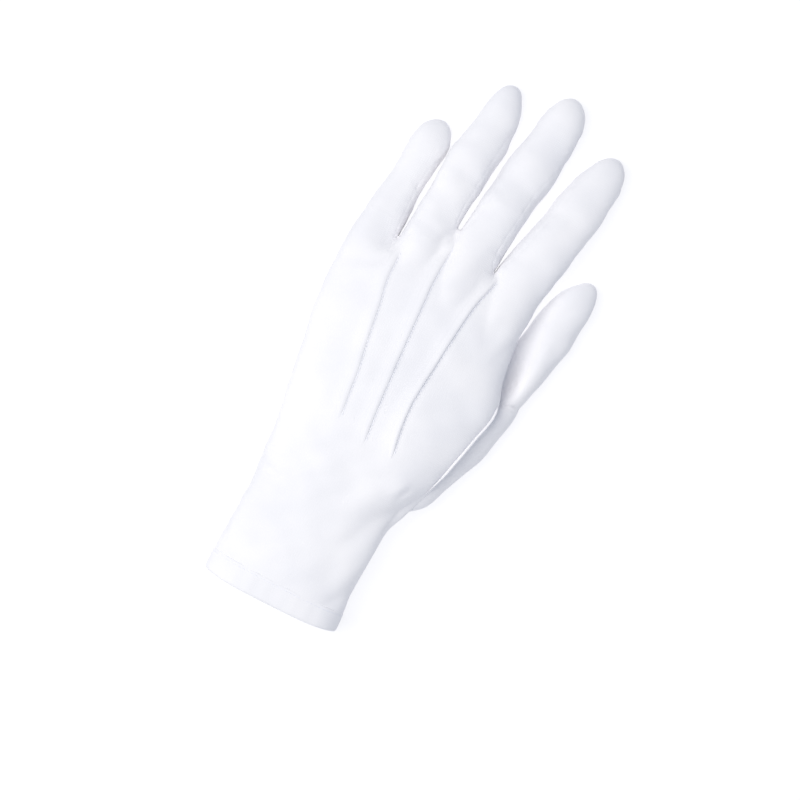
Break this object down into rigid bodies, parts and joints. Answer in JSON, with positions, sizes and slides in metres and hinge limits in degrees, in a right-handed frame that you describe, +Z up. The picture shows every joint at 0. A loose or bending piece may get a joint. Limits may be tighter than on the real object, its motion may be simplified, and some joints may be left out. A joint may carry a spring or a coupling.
{
  "type": "short glove",
  "caption": "Short white cotton dress glove for the left hand, lying palm down, with raised points on the back and a vent at the wrist closed by a press stud.",
  "frame": {"origin": "middle of the underside, on the surface that the glove lies on", "axes": "+Y from the cuff to the fingertips, +X to the thumb's side, +Z up through the back of the hand"},
  "size_m": [0.1052, 0.2492, 0.0377],
  "materials": {
    "cotton_jersey": "fine white cotton jersey, matt",
    "cotton_jersey_palm": "fine white cotton jersey, matt",
    "cotton_fourchette": "fine white cotton jersey, matt",
    "cotton_thumb": "fine white cotton jersey, matt",
    "cotton_point": "fine white cotton jersey, matt",
    "cotton_seam": "fine white cotton jersey, matt",
    "cotton_hem": "fine white cotton jersey, matt",
    "cotton_binding": "fine white cotton jersey, matt",
    "stud_plastic": "white moulded plastic, glossy"
  },
  "bodies": {
    "root": {"back_panel": "cotton_jersey", "palm_panel": "cotton_jersey_palm", "fourchette_little_ring": "cotton_fourchette", "fourchette_ring_middle": "cotton_fourchette", "fourchette_middle_index": "cotton_fourchette", "thumb": "cotton_thumb", "point_outer": "cotton_point", "point_middle": "cotton_point", "point_inner": "cotton_point", "side_welt": "cotton_seam", "cuff_hem": "cotton_hem", "vent_binding": "cotton_binding", "stud_cap": "stud_plastic", "stud_post": "stud_plastic"}
  },
  "joints": []
}
